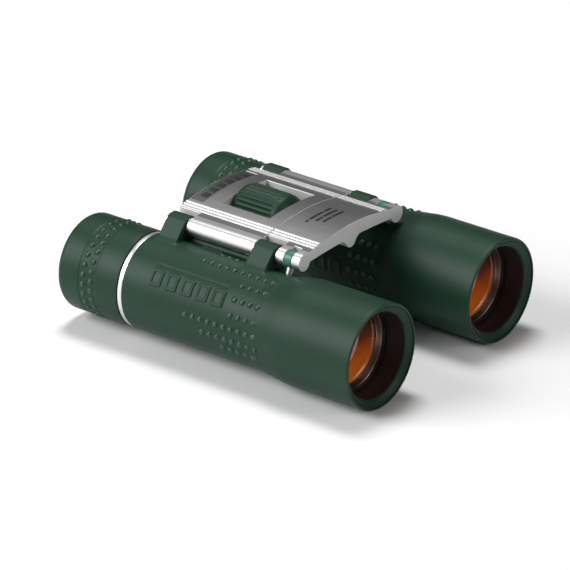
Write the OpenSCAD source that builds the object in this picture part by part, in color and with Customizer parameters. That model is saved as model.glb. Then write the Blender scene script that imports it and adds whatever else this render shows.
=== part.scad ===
// Compact roof-prism binoculars: two barrels that fold on hinges under a bridge,
// a centre focus wheel that drives both objectives, and a dioptre ring.
// Millimetres. +Y is the viewing direction, +Z is up, +X is the viewer's right.
// The origin lies midway between the barrels, on the surface they rest on.

/* [Barrels] */
// Length of each barrel, from eyecup to objective rim
barrel_length = 119; // [118:0.5:121]
// Distance between the two optical axes when unfolded
axis_spacing = 62.5; // [61:0.5:64]
// Radius of the rubber over the prism housing
grip_r = 15.9; // [15.7:0.1:16.2]
// Radius of the rubber around the objective
rim_r = 17.5; // [17.2:0.1:17.9]
// Thickness of the rubber over the prism housing
rubber_t = 0.9; // [0.7:0.1:1.1]
// Where the flare towards the objective begins, along Y
crease_y = 18.5; // [18:0.5:20]
// Length of the flare
flare_length = 12; // [11:0.5:14]

/* [Eyepieces] */
// Radius of the rubber eyecup
eyecup_r = 16; // [15.8:0.1:16.3]
// Radius of the eyecup's mouth
eyecup_mouth_r = 10.6; // [10.2:0.1:11]
// Width of the bright ring in front of the eyecup
trim_width = 1.8; // [1.4:0.1:2]

/* [Hinges] */
// Distance between the two hinge axes
hinge_spacing = 47.9; // [47:0.1:48.5]
// Height of the hinge axes above the optical axes
hinge_rise = 19.3; // [19.1:0.1:20]
// Radius of the steel hinge rods
rod_r = 1.5; // [1.4:0.1:1.6]
// Outside radius of the hinge tubes
tube_r = 2.9; // [2.8:0.1:3]
// Radial clearance of the turning and sliding fits
fit_gap = 0.05; // [0.02:0.01:0.08]

/* [Bridge] */
// Height of the crown of the bridge above the hinge axes
crown_rise = 5.3; // [5:0.1:5.6]
// Width of the window for the focus wheel
window_width = 23; // [22:0.5:24]
// Radius of the focus wheel over its ribs
wheel_r = 8.3; // [8:0.1:8.5]
// Number of ribs round the focus wheel
wheel_ribs = 30; // [24:1:36]

/* [Optics] */
// Radius of the objective lenses
lens_r = 12.6; // [12.4:0.1:12.7]
// Width of the beam through the prisms
prism_aperture = 10; // [9:0.5:10.5]

/* [Hidden] */

LEFT = -1;
RIGHT = 1;
eps = 0.01;
round_fn = 96;
broad_fn = 720;

// Places of the axes
axis_x = axis_spacing / 2;
axis_z = rim_r;
hinge_x = hinge_spacing / 2;
hinge_z = axis_z + hinge_rise;
hinge_in = axis_x - hinge_x;
hinge_drop = norm([hinge_in, hinge_rise]);
hinge_lean = atan(hinge_in / hinge_rise);
wheel_z = hinge_z - 0.6;

// Stations along Y
front_y = barrel_length / 2;
rear_y = -front_y;
shell_front_y = front_y - 2.1;
shell_rear_y = rear_y + 27.1;
flare_end_y = crease_y + flare_length;
eyecup_front_y = shell_rear_y - trim_width - 0.3;
sleeve_rear_y = rear_y + 2;
cell_front_y = front_y - 9;
cell_rear_y = 15;
prism_entry_y = 8.6;
bridge_rear_y = -30.8;
bridge_front_y = 4.9;
plate_rear_y = 5;
plate_front_y = 23.3;
tube_rear_y = -22.1;
rear_lug = [-30, -22.4];
front_lug = [5.2, 13.3];
ring_rear_y = 16.9;
ring_front_y = 20.1;
pin_y = (ring_rear_y + ring_front_y) / 2;
focus_travel = 3.5;
window_rear_y = -19.8;
window_front_y = -0.4;

// Radii inside the barrels
shell_r = grip_r - rubber_t;
shell_front_r = rim_r - 1.3;
mouth_r = 14.5;
cell_r = 14.3;
cage_r = 13.55;
spigot_r = 13.3;
sleeve_r = eyecup_r - 1.2;
ocular_r = 12.5;
ocular_lens_r = 10.4;

// Bridge section
arch_r = 80;
under_arch_r = 250;
under_rise = 0.3;
recess_depth = 0.35;
boss_r = 2.4;
wing_x = 19.4;
ring_notch_x = hinge_x - tube_r - 0.35;
spindle_r = 1.2;
nut_r = 1.9;
lug_r = 3.2;
lug_cover_t = 0.9;
pin_r = 1.2;

// Turns a profile of [radius, y] points about the Y axis
module turned() { rotate([-90, 0, 0]) rotate_extrude($fn = round_fn) children(); }

// Draws an outline of [x, z] points out between two places along Y
module along_y(from, to) {
  translate([0, to, 0]) rotate([90, 0, 0]) linear_extrude(to - from) children();
}

module rod(from, to, r) { along_y(from, to) circle(r, $fn = round_fn); }

module tube(from, to, outer, inner) {
  along_y(from, to) difference() {
    circle(outer, $fn = round_fn);
    circle(inner, $fn = round_fn);
  }
}

// Puts a piece drawn about a barrel's own axis, with +X outboard, on its side
module on_side(side) {
  if (side == RIGHT) translate([axis_x, 0, axis_z]) children();
  else mirror([1, 0, 0]) translate([axis_x, 0, axis_z]) children();
}

// Puts a piece drawn about a hinge axis on its side
module on_hinge(side) { translate([side * hinge_x, 0, hinge_z]) children(); }

// Within a barrel: from the hinge axis, with +Z pointing at the optical axis
module toward_barrel() {
  translate([-hinge_in, 0, hinge_rise])
    rotate([0, -hinge_lean, 0]) mirror([0, 0, 1]) children();
}

// ---- Barrels ----

// Outline of a hinge lug, from the hinge axis down to the barrel
module lug_outline(inset) {
  translate([-hinge_in, hinge_rise]) {
    circle(lug_r - inset, $fn = round_fn);
    polygon([
      [-0.4, 3.1 - inset], [2.9 - 0.8 * inset, 2.9 - 0.6 * inset],
      [9.4 - 0.8 * inset, -4.2 - 0.6 * inset], [6, -8],
      [-3.2 + inset, -9], [-3.2 + inset, -1]
    ]);
  }
}

module lugs(inset, end_gap) {
  for (lug = [rear_lug, front_lug])
    along_y(lug[0] + end_gap, lug[1] - end_gap) lug_outline(inset);
}

module shell_solid() {
  turned() polygon([
    [0, shell_rear_y], [shell_r, shell_rear_y], [shell_r, crease_y],
    [shell_front_r, flare_end_y], [shell_front_r, shell_front_y], [0, shell_front_y]
  ]);
  lugs(lug_cover_t, 0.8);
}

module shell_bores() {
  turned() polygon([
    [0, shell_rear_y - 1], [spigot_r, shell_rear_y - 1], [spigot_r, -28],
    [cage_r + fit_gap, -28], [cage_r + fit_gap, 13], [cell_r + fit_gap, 13],
    [cell_r + fit_gap, shell_front_y + 1], [0, shell_front_y + 1]
  ]);
}

// Slot that lets the focus pin run along the barrel
module pin_slot() {
  half = pin_r + 0.2;
  toward_barrel() translate([-half, pin_y - half, 3])
    cube([2 * half, focus_travel + 2 * half, 8]);
}

module hinge_bore(r) {
  translate([-hinge_in, 0, hinge_rise]) rod(rear_lug[0] - 1, front_lug[1] + 1, r);
}

module barrel_shell(side) {
  color("dimgray") on_side(side) difference() {
    shell_solid();
    shell_bores();
    hinge_bore(rod_r + fit_gap);
    pin_slot();
  }
}

// Rubber skin over the barrel, the lugs and the objective rim
module armour(side) {
  color([0.13, 0.27, 0.2]) on_side(side) difference() {
    union() {
      turned() polygon([
        [mouth_r + 0.05, shell_rear_y], [grip_r, shell_rear_y], [grip_r, crease_y],
        [rim_r, flare_end_y], [rim_r, front_y - 1], [rim_r - 0.3, front_y - 0.3],
        [rim_r - 0.7, front_y], [rim_r - 1.1, front_y], [rim_r - 1.4, front_y - 0.7],
        [mouth_r + 0.05, front_y - 2]
      ]);
      lugs(0, 0);
    }
    shell_solid();
    hinge_bore(rod_r + 4 * fit_gap);
    pin_slot();
  }
}

module trim_ring(side) {
  color("silver") on_side(side)
    tube(shell_rear_y - trim_width, shell_rear_y, grip_r - 0.1, spigot_r);
}

// ---- Prisms ----

module prism_cage(side) {
  color([0.12, 0.12, 0.13]) on_side(side) difference() {
    rod(-12, 11, cage_r);
    rod(-8, 12, cage_r - 0.8);
    rod(-13, -7, prism_aperture / 2 + 0.5);
  }
}

// Cover at the front of the prism cage, with a round light hole
module prism_plate(side) {
  color([0.2, 0.2, 0.21]) on_side(side)
    tube(9.2, 11, cage_r - 0.85, prism_aperture / 2 + 0.6);
}

module prism_block(points) {
  intersection() {
    rod(-7.5, 9, cage_r - 0.95);
    rotate([90, 0, 90]) linear_extrude(prism_aperture + 1, center = true)
      polygon(points);
  }
}

// Half-pentagonal prism: entry face, silvered face and the slanted exit face
module prism_front(side) {
  a = prism_aperture;
  k = 1 + sqrt(0.5);
  color([0.75, 0.85, 0.9, 0.6]) on_side(side) prism_block([
    for (p = [[0, a / 2], [0, -a / 2], [k * a, (0.5 - k) * a]])
      [prism_entry_y - p[0], p[1]]
  ]);
}

// Schmidt roof prism, above a thin air gap, with its roof along the upper edge
module prism_roof(side) {
  a = prism_aperture;
  k = 0.5 + sqrt(0.5);
  gap = 0.15;
  ridge_tilt = atan(0.5 / k);
  color([0.72, 0.83, 0.9, 0.6]) on_side(side) intersection() {
    prism_block([
      for (p = [[gap, a / 2 + gap], [k * a, (0.5 - k) * a + 2 * gap], [k * a, a]])
        [prism_entry_y - p[0], p[1]]
    ]);
    translate([0, prism_entry_y, a / 2]) rotate([-ridge_tilt, -45, 0])
      translate([-2 * a, -3 * a, -2 * a]) cube([2 * a, 4 * a, 2 * a]);
  }
}

// ---- Objectives ----

function sag(curve, r) = abs(curve) - sqrt(curve * curve - r * r);

// A lens between two rim planes; a positive curve bulges, a negative one is hollow
module lens(front, back, r, front_curve, back_curve) {
  front_top = front + (front_curve > 0 ? sag(front_curve, r) : 0);
  back_top = back - (back_curve > 0 ? sag(back_curve, r) : 0);
  difference() {
    intersection() {
      rod(back_top - 1, front_top + 1, r);
      if (front_curve > 0)
        translate([0, front_top - front_curve, 0]) sphere(front_curve, $fn = 180);
      if (front_curve < 0) rod(back_top - 1, front, r + 1);
      if (back_curve > 0)
        translate([0, back_top + back_curve, 0]) sphere(back_curve, $fn = 180);
      if (back_curve < 0) rod(back, front_top + 1, r + 1);
    }
    if (front_curve < 0)
      translate([0, front - sag(front_curve, r) - front_curve, 0])
        sphere(-front_curve, $fn = 180);
    if (back_curve < 0)
      translate([0, back + sag(back_curve, r) + back_curve, 0])
        sphere(-back_curve, $fn = 180);
  }
}

module objective_cell(side) {
  color([0.1, 0.1, 0.1]) on_side(side) difference() {
    turned() polygon([
      [12, cell_rear_y], [cell_r, cell_rear_y], [cell_r, 24], [cell_r - 0.4, 24.4],
      [cell_r - 0.4, 39.6], [cell_r, 40], [cell_r, cell_front_y],
      [cell_r - 0.9, cell_front_y], [cell_r - 0.9, cell_front_y - 2.7],
      [lens_r + 0.05, cell_front_y - 2.7], [lens_r + 0.05, cell_front_y - 7.5],
      [12, cell_front_y - 7.5]
    ]);
    toward_barrel() translate([0, pin_y, 3]) cylinder(r = pin_r, h = 9, $fn = 48);
  }
}

module crown_lens(side) {
  color([0.9, 0.45, 0.2, 0.7]) on_side(side)
    lens(cell_front_y - 2.9, cell_front_y - 4.9, lens_r, 55, 45);
}

module flint_lens(side) {
  color([0.8, 0.85, 0.85, 0.6]) on_side(side)
    lens(cell_front_y - 5, cell_front_y - 7.4, lens_r, -45, 120);
}

module objective_retainer(side) {
  color([0.25, 0.22, 0.2]) on_side(side)
    tube(cell_front_y - 2.7, cell_front_y - 1.1, cell_r - 0.95, 12.1);
}

// Pin from the link ring, through the barrel's slot, into the objective cell
module focus_pin(side) {
  color("silver") on_side(side) difference() {
    toward_barrel() translate([0, pin_y, 2]) cylinder(r = pin_r, h = 6.1, $fn = 48);
    translate([-hinge_in, 0, hinge_rise]) rod(ring_rear_y - 1, ring_front_y + 1, tube_r);
  }
}

module link_ring(side) {
  color([0.2, 0.45, 0.4]) on_hinge(side)
    tube(ring_rear_y + fit_gap, ring_front_y - fit_gap, tube_r, rod_r + fit_gap);
}

// ---- Eyepieces ----

module eyepiece_sleeve_left() {
  color([0.12, 0.12, 0.12]) on_side(LEFT) turned() polygon([
    [11.2, sleeve_rear_y], [sleeve_r, sleeve_rear_y], [sleeve_r, eyecup_front_y + 0.15],
    [spigot_r - 0.03, eyecup_front_y + 0.15], [spigot_r - 0.03, -28], [ocular_r + fit_gap, -28],
    [ocular_r + fit_gap, sleeve_rear_y + 1.3], [11.2, sleeve_rear_y + 1.3]
  ]);
}

module ocular_guide_right() {
  color([0.16, 0.16, 0.16]) on_side(RIGHT)
    tube(sleeve_rear_y + 4.5, -28, spigot_r - 0.03, ocular_r + fit_gap);
}

// Ring that turns on the guide and moves the right ocular along it
module diopter_ring() {
  color([0.12, 0.12, 0.12]) on_side(RIGHT) turned() polygon([
    [11.2, sleeve_rear_y], [sleeve_r, sleeve_rear_y], [sleeve_r, eyecup_front_y + 0.15],
    [spigot_r + fit_gap, eyecup_front_y + 0.15], [spigot_r + fit_gap, sleeve_rear_y + 1.3],
    [11.2, sleeve_rear_y + 1.3]
  ]);
}

module ocular_tube(side) {
  color([0.08, 0.08, 0.08]) on_side(side) turned() polygon([
    [10.5, -54.5], [ocular_r, -54.5], [ocular_r, -26], [10.5, -26],
    [10.5, -38], [9, -38], [9, -44.5], [10.5, -44.5]
  ]);
}

module field_stop(side) {
  color([0.1, 0.1, 0.1]) on_side(side) tube(-32.5, -27, ocular_lens_r + 0.1, 6);
}

module field_lens(side) {
  color([0.8, 0.88, 0.9, 0.6]) on_side(side) lens(-33.3, -37.2, ocular_lens_r, 60, 24);
}

module eye_lens(side) {
  color([0.8, 0.88, 0.9, 0.6]) on_side(side) lens(-46.6, -49.6, ocular_lens_r, 30, 70);
}

module eye_retainer(side) {
  color([0.1, 0.1, 0.1]) on_side(side) tube(-52.3, -50.6, ocular_lens_r + 0.1, 8.6);
}

// Points along an arc, for a profile
function arc(centre, r, from, to, steps = 10) = [
  for (k = [0 : steps]) let (a = from + (to - from) * k / steps)
    centre + r * [cos(a), sin(a)]
];

// Rubber eyecup with a rounded end and a shallow band for the grip nubs
module eyecup(side) {
  end_r = 2.4;
  band = [-50.4, -43.6];
  band_depth = 0.25;
  color([0.13, 0.27, 0.2]) on_side(side) turned() polygon(concat(
    [[eyecup_mouth_r, rear_y + 0.8], [eyecup_mouth_r + 0.8, rear_y]],
    arc([eyecup_r - end_r, rear_y + end_r], end_r, -90, 0),
    [
      [eyecup_r, band[0]], [eyecup_r - band_depth, band[0]],
      [eyecup_r - band_depth, band[1]], [eyecup_r, band[1]], [eyecup_r, eyecup_front_y],
      [sleeve_r, eyecup_front_y], [sleeve_r, sleeve_rear_y], [eyecup_mouth_r, sleeve_rear_y]
    ]
  ));
}

// ---- Bridge ----

// Section between the two arches, out to a given half width
module arch_section(half) {
  difference() {
    intersection() {
      translate([0, crown_rise - arch_r]) circle(arch_r, $fn = broad_fn);
      translate([-half, -2]) square([2 * half, 9]);
    }
    translate([0, under_rise - under_arch_r]) circle(under_arch_r, $fn = broad_fn);
  }
  polygon([[-4.6, 0.6], [-2.3, -1.2], [2.3, -1.2], [4.6, 0.6]]);
  translate([0, wheel_z - hinge_z]) circle(boss_r, $fn = round_fn);
}

// Three raised lines along each side of the bridge
module ridge_section() {
  for (side = [LEFT, RIGHT], k = [-1, 0, 1]) {
    x = 17.3 + 1.3 * k;
    translate([side * x, crown_rise - arch_r + sqrt(arch_r * arch_r - x * x)])
      circle(0.4, $fn = 24);
  }
}

module wing_section() {
  arch_section(hinge_x - 1);
  for (side = [LEFT, RIGHT]) {
    translate([side * hinge_x, 0]) circle(tube_r, $fn = round_fn);
    polygon([
      [side * 18, 0], [side * 18, 3.1], [side * hinge_x, tube_r], [side * hinge_x, 0]
    ]);
  }
}

// Shallow recess across the rear of the bridge
module rear_recess() {
  translate([0, 0, hinge_z]) along_y(bridge_rear_y + 0.5, -25.5) difference() {
    translate([-14, 0]) square([28, 9]);
    translate([0, crown_rise - recess_depth - arch_r]) circle(arch_r, $fn = broad_fn);
  }
}

module bridge_plate() {
  color([0.6, 0.6, 0.61]) difference() {
    translate([0, 0, hinge_z]) {
      along_y(bridge_rear_y, bridge_front_y) {
        arch_section(wing_x);
        ridge_section();
      }
      along_y(tube_rear_y, bridge_front_y) wing_section();
    }
    translate([-window_width / 2, window_rear_y, hinge_z - 5])
      cube([window_width, window_front_y - window_rear_y, 12]);
    rear_recess();
    for (side = [LEFT, RIGHT]) on_hinge(side)
      rod(tube_rear_y - 1, bridge_front_y + 1, rod_r);
    translate([0, 0, wheel_z]) {
      rod(-25.2, bridge_front_y + 1, spindle_r + fit_gap);
      rod(4, bridge_front_y + 1, nut_r + 0.1);
    }
  }
}

module hinge_rod(side) {
  color("silver") on_hinge(side) rod(rear_lug[0] - 0.1, plate_front_y - 0.8, rod_r);
}

// Thin washers between the bridge tubes and the lugs
module hinge_washers() {
  color("lightgray") for (side = [LEFT, RIGHT]) on_hinge(side) {
    tube(tube_rear_y - 0.25, tube_rear_y, tube_r - 0.1, rod_r);
    tube(bridge_front_y, bridge_front_y + 0.25, tube_r - 0.1, rod_r);
  }
}

// Slotted heads at the rear ends of the hinge rods
module hinge_screws() {
  head_y = rear_lug[0] - 0.1;
  color("silver") for (side = [LEFT, RIGHT]) on_hinge(side) difference() {
    rod(head_y - 1.1, head_y, 2.2);
    translate([0, head_y - 1.1, 0]) cube([6, 0.9, 0.6], center = true);
  }
}

// ---- Focus drive ----

module focus_wheel() {
  wheel_rear_y = window_rear_y + 0.5;
  wheel_front_y = window_front_y - 0.4;
  rib_r = 0.5;
  color([0.13, 0.27, 0.2]) translate([0, 0, wheel_z]) difference() {
    union() {
      rod(wheel_rear_y, wheel_front_y, wheel_r - 0.7);
      along_y(wheel_rear_y + 1.2, wheel_front_y - 2.4) {
        circle(wheel_r - rib_r, $fn = round_fn);
        for (k = [0 : wheel_ribs - 1]) rotate(k * 360 / wheel_ribs)
          translate([wheel_r - rib_r, 0]) circle(rib_r, $fn = 24);
      }
    }
    rod(wheel_rear_y - 1, wheel_front_y + 1, spindle_r);
    translate([0, wheel_front_y - 1.2, 0]) rotate([180, 0, 0])
      cylinder(r = 0.8, h = wheel_r + 1, $fn = 32);
  }
}

module wheel_set_screw() {
  color("gray") translate([0, window_front_y - 1.6, wheel_z - 5.2]) difference() {
    cylinder(r = 0.8, h = 5.2 - spindle_r, $fn = 32);
    translate([0, 0, 0.3]) cube([3, 0.35, 0.8], center = true);
    rotate([90, 0, 0]) translate([0, 5.2, -2]) cylinder(r = spindle_r, h = 4, $fn = round_fn);
  }
}

module focus_spindle() {
  color("silver") translate([0, 0, wheel_z]) difference() {
    rod(-25, 18, spindle_r);
    tube(4.1, 4.7, spindle_r + 1, spindle_r - 0.25);
  }
}

module spindle_clip() {
  color("gray") translate([0, 0, wheel_z]) tube(4.1, 4.7, nut_r - 0.1, spindle_r - 0.25);
}

module focus_plate() {
  color([0.6, 0.6, 0.61]) difference() {
    translate([0, 0, hinge_z]) {
      along_y(plate_rear_y, plate_front_y) {
        arch_section(wing_x);
        ridge_section();
      }
      along_y(front_lug[1] + 0.4, ring_rear_y) wing_section();
      along_y(ring_front_y, plate_front_y) wing_section();
      along_y(ring_rear_y, ring_front_y) arch_section(ring_notch_x);
    }
    for (side = [LEFT, RIGHT]) on_hinge(side)
      rod(front_lug[1] - 1, plate_front_y - 0.6, rod_r + fit_gap);
    translate([0, 0, wheel_z]) {
      rod(plate_rear_y - 1, 14, nut_r);
      rod(13, 19, spindle_r + 0.2);
    }
  }
}

module focus_nut() {
  color([0.8, 0.65, 0.3]) translate([0, 0, wheel_z])
    tube(plate_rear_y + 0.2, 14, nut_r, spindle_r + fit_gap);
}

bridge_plate();
hinge_rod(LEFT);  // hinge_rod_left
hinge_rod(RIGHT);  // hinge_rod_right
hinge_washers();
hinge_screws();
focus_wheel();
focus_spindle();
wheel_set_screw();
spindle_clip();
focus_plate();
focus_nut();
barrel_shell(LEFT);  // barrel_shell_left
barrel_shell(RIGHT);  // barrel_shell_right
armour(LEFT);  // armour_left
armour(RIGHT);  // armour_right
trim_ring(LEFT);  // trim_ring_left
trim_ring(RIGHT);  // trim_ring_right
prism_cage(LEFT);  // prism_cage_left
prism_cage(RIGHT);  // prism_cage_right
prism_front(LEFT);  // prism_front_left
prism_front(RIGHT);  // prism_front_right
prism_roof(LEFT);  // prism_roof_left
prism_roof(RIGHT);  // prism_roof_right
prism_plate(LEFT);  // prism_plate_left
prism_plate(RIGHT);  // prism_plate_right
objective_cell(LEFT);  // objective_cell_left
objective_cell(RIGHT);  // objective_cell_right
crown_lens(LEFT);  // crown_lens_left
crown_lens(RIGHT);  // crown_lens_right
flint_lens(LEFT);  // flint_lens_left
flint_lens(RIGHT);  // flint_lens_right
objective_retainer(LEFT);  // objective_retainer_left
objective_retainer(RIGHT);  // objective_retainer_right
focus_pin(LEFT);  // focus_pin_left
focus_pin(RIGHT);  // focus_pin_right
link_ring(LEFT);  // link_ring_left
link_ring(RIGHT);  // link_ring_right
eyepiece_sleeve_left();
ocular_guide_right();
diopter_ring();
ocular_tube(LEFT);  // ocular_tube_left
ocular_tube(RIGHT);  // ocular_tube_right
field_stop(LEFT);  // field_stop_left
field_stop(RIGHT);  // field_stop_right
field_lens(LEFT);  // field_lens_left
field_lens(RIGHT);  // field_lens_right
eye_lens(LEFT);  // eye_lens_left
eye_lens(RIGHT);  // eye_lens_right
eye_retainer(LEFT);  // eye_retainer_left
eye_retainer(RIGHT);  // eye_retainer_right
eyecup(LEFT);  // eyecup_left
eyecup(RIGHT);  // eyecup_right
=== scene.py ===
"""Looks of the compact binoculars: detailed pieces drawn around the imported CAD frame.

Every piece is drawn in millimetres in the frame of the CAD model and stored in metres.
Barrel pieces are drawn about the optical axis, with angles from outboard (+X) towards +Z.
"""

import math

import bpy
import numpy as np
from mathutils import Matrix, Vector


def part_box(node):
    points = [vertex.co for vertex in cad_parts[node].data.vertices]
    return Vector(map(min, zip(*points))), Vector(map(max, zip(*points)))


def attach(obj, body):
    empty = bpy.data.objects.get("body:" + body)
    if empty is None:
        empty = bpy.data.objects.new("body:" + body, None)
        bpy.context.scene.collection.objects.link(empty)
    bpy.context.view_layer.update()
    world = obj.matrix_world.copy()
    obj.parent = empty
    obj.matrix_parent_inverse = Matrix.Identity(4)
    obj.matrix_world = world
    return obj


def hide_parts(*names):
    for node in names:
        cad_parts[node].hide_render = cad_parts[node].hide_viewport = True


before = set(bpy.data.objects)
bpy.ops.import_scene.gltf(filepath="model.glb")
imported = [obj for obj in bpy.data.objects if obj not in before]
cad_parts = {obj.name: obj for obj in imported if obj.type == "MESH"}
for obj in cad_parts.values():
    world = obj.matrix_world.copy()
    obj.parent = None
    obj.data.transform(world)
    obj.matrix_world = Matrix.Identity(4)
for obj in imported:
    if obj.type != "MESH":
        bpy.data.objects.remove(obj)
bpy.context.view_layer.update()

MM = 0.001
LEFT, RIGHT = -1, 1
SIDE_NAMES = {LEFT: "left", RIGHT: "right"}


def mm_box(node):
    """Lowest and highest corner of a CAD node, in millimetres."""
    low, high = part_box(node)
    return Vector(low) / MM, Vector(high) / MM


# ---- Places and sizes, worked out from the frame ----
CUP_LOW, CUP_HIGH = mm_box("eyecup_right")
RUBBER_LOW, RUBBER_HIGH = mm_box("armour_right")
RING_LOW, RING_HIGH = mm_box("link_ring_right")
TRIM_LOW, TRIM_HIGH = mm_box("trim_ring_right")
WHEEL_LOW, WHEEL_HIGH = mm_box("focus_wheel")
BRIDGE_LOW, BRIDGE_HIGH = mm_box("bridge_plate")
PLATE_LOW, PLATE_HIGH = mm_box("focus_plate")
WASHER_LOW, WASHER_HIGH = mm_box("hinge_washers")
CELL_HIGH = mm_box("objective_cell_right")[1]
CROWN_LOW, CROWN_HIGH = mm_box("crown_lens_right")
RETAINER_LOW, RETAINER_HIGH = mm_box("objective_retainer_right")

AXIS_X = (CUP_LOW.x + CUP_HIGH.x) / 2
AXIS_Z = (CUP_LOW.z + CUP_HIGH.z) / 2
CUP_R = (CUP_HIGH.x - CUP_LOW.x) / 2
RIM_R = AXIS_Z - RUBBER_LOW.z
FLARE_RISE = 1.6
GRIP_R = RIM_R - FLARE_RISE
REAR_Y = CUP_LOW.y
FRONT_Y = RUBBER_HIGH.y
HINGE_X = (RING_LOW.x + RING_HIGH.x) / 2
HINGE_Z = (RING_LOW.z + RING_HIGH.z) / 2
TUBE_R = (RING_HIGH.x - RING_LOW.x) / 2
HINGE_IN = AXIS_X - HINGE_X
HINGE_RISE = HINGE_Z - AXIS_Z
HINGE_ANGLE = 180 - math.degrees(math.atan2(HINGE_RISE, HINGE_IN))
WHEEL_Z = (WHEEL_LOW.z + WHEEL_HIGH.z) / 2
WHEEL_R = (WHEEL_HIGH.z - WHEEL_LOW.z) / 2
LUG_GAP = 0.05
REAR_LUG = (BRIDGE_LOW.y + 0.8, WASHER_LOW.y - LUG_GAP)
FRONT_LUG = (WASHER_HIGH.y + LUG_GAP, PLATE_HIGH.y - 10.0)
FLARE_TO_RIM = 41.0
FLARE_LENGTH = 12.0
CREASE_AFTER_FLARE = 4.9
FLARE_Y = FRONT_Y - FLARE_TO_RIM
FLARE_END_Y = FLARE_Y + FLARE_LENGTH
CREASE_Y = FLARE_Y + CREASE_AFTER_FLARE


# ---- Mesh helpers ----
def add_piece(name, verts, faces, body, stands_for, materials, indices=None, sharp=38.0):
    """A mesh piece from points in millimetres, riding on a body in place of CAD nodes."""
    mesh = bpy.data.meshes.new(name)
    mesh.from_pydata((np.asarray(verts, dtype=float) * MM).tolist(), [], [list(f) for f in faces])
    if indices is not None:
        mesh.polygons.foreach_set("material_index", np.asarray(indices, dtype=np.int32))
    mesh.polygons.foreach_set("use_smooth", np.ones(len(mesh.polygons), dtype=bool))
    mesh.validate()
    mesh.update()
    mesh.set_sharp_from_angle(angle=math.radians(sharp))
    piece = bpy.data.objects.new(name, mesh)
    bpy.context.scene.collection.objects.link(piece)
    for material in materials:
        mesh.materials.append(material)
    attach(piece, body)
    if stands_for:
        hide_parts(*stands_for)
    return piece


def bevel(piece, width, segments=2, angle=42.0):
    """Rounds the hard edges of a piece; the width is in millimetres."""
    modifier = piece.modifiers.new("edge", "BEVEL")
    modifier.width = width * MM
    modifier.segments = segments
    modifier.limit_method = "ANGLE"
    modifier.angle_limit = math.radians(angle)
    modifier.use_clamp_overlap = False
    modifier.harden_normals = False
    return piece


def ring_faces(rows, cols, loop_rows):
    """Quads of a grid that closes round its columns, and also round its rows if asked."""
    faces = []
    for i in range(rows if loop_rows else rows - 1):
        a, b = i * cols, (i + 1) % rows * cols
        faces += [(a + j, b + j, b + (j + 1) % cols, a + (j + 1) % cols) for j in range(cols)]
    return faces


def barrel_points(side, radius, y, theta):
    """Points about a barrel's axis from radius and y grids and a list of angles in degrees."""
    turn = np.radians(theta)[None, :]
    x = side * (AXIS_X + radius * np.cos(turn))
    z = AXIS_Z + radius * np.sin(turn)
    return np.stack([x, np.broadcast_to(y, x.shape), z], axis=-1).reshape(-1, 3)


def turned_loop(profile, theta):
    """Radius and y grids for a closed profile of (radius, y) points, the same at all angles."""
    points = np.array(profile, dtype=float)
    shape = (len(points), len(theta))
    return np.broadcast_to(points[:, :1], shape).copy(), np.broadcast_to(points[:, 1:], shape).copy()


def oriented(faces, side):
    """The faces as drawn on the right, and turned over on the mirrored left."""
    return faces if side == RIGHT else [tuple(reversed(f)) for f in faces]


def barrel_ring(name, side, profile, body, stands_for, material, steps=180, sharp=38.0):
    """A plain turned ring about a barrel's axis. The profile runs anticlockwise as (radius, y)."""
    theta = np.arange(steps) * 360.0 / steps
    radius, y = turned_loop(profile, theta)
    faces = oriented(ring_faces(len(profile), steps, True), side)
    return add_piece(name, barrel_points(side, radius, y, theta), faces, body, stands_for,
                     [material], sharp=sharp)


def arc(centre_r, centre_y, radius, start, end, steps=8):
    """Profile points along an arc; angles in degrees from the radial direction towards +Y."""
    turn = np.radians(np.linspace(start, end, steps + 1))
    return [(centre_r + radius * math.cos(t), centre_y + radius * math.sin(t)) for t in turn]


def smooth(t):
    """Eases from 0 at t = 0 to 1 at t = 1."""
    t = np.clip(t, 0.0, 1.0)
    return t * t * (3 - 2 * t)


def angle_between(theta, centre):
    """Signed difference of two angles in degrees, between -180 and 180."""
    return (theta - centre + 180.0) % 360.0 - 180.0


def merged_rows(*groups, gap=0.02):
    """Sorted y values without near doubles."""
    rows = []
    for y in sorted(np.concatenate(groups)):
        if not rows or y - rows[-1] >= gap:
            rows.append(float(y))
    return np.array(rows)


# ---- Materials ----
def material_with(name, **inputs):
    """A new node material; returns it with its node tree and principled shader."""
    material = bpy.data.materials.new(name)
    material.use_nodes = True
    tree = material.node_tree
    shader = tree.nodes["Principled BSDF"]
    for key, value in inputs.items():
        shader.inputs[key.replace("_", " ")].default_value = value
    return material, tree, shader


def noise(tree, scale, stretch=(1, 1, 1), detail=4.0, roughness=0.55):
    """A noise texture in the piece's own coordinates; scale is in cycles per metre."""
    coords = tree.nodes.new("ShaderNodeTexCoord")
    mapping = tree.nodes.new("ShaderNodeMapping")
    mapping.inputs["Scale"].default_value = stretch
    texture = tree.nodes.new("ShaderNodeTexNoise")
    texture.inputs["Scale"].default_value = scale
    texture.inputs["Detail"].default_value = detail
    texture.inputs["Roughness"].default_value = roughness
    tree.links.new(coords.outputs["Object"], mapping.inputs["Vector"])
    tree.links.new(mapping.outputs["Vector"], texture.inputs["Vector"])
    return texture


def ramp(tree, source, stops):
    """A colour ramp over a texture's factor; stops are (position, colour)."""
    node = tree.nodes.new("ShaderNodeValToRGB")
    elements = node.color_ramp.elements
    while len(elements) < len(stops):
        elements.new(0.5)
    for element, (position, colour) in zip(elements, stops):
        element.position = position
        element.color = (*colour, 1.0)
    tree.links.new(source, node.inputs["Fac"])
    return node.outputs["Color"]


def spread(tree, source, low, high):
    """Maps a 0 to 1 factor to a range."""
    node = tree.nodes.new("ShaderNodeMapRange")
    node.inputs["To Min"].default_value = low
    node.inputs["To Max"].default_value = high
    tree.links.new(source, node.inputs["Value"])
    return node.outputs["Result"]


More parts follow.
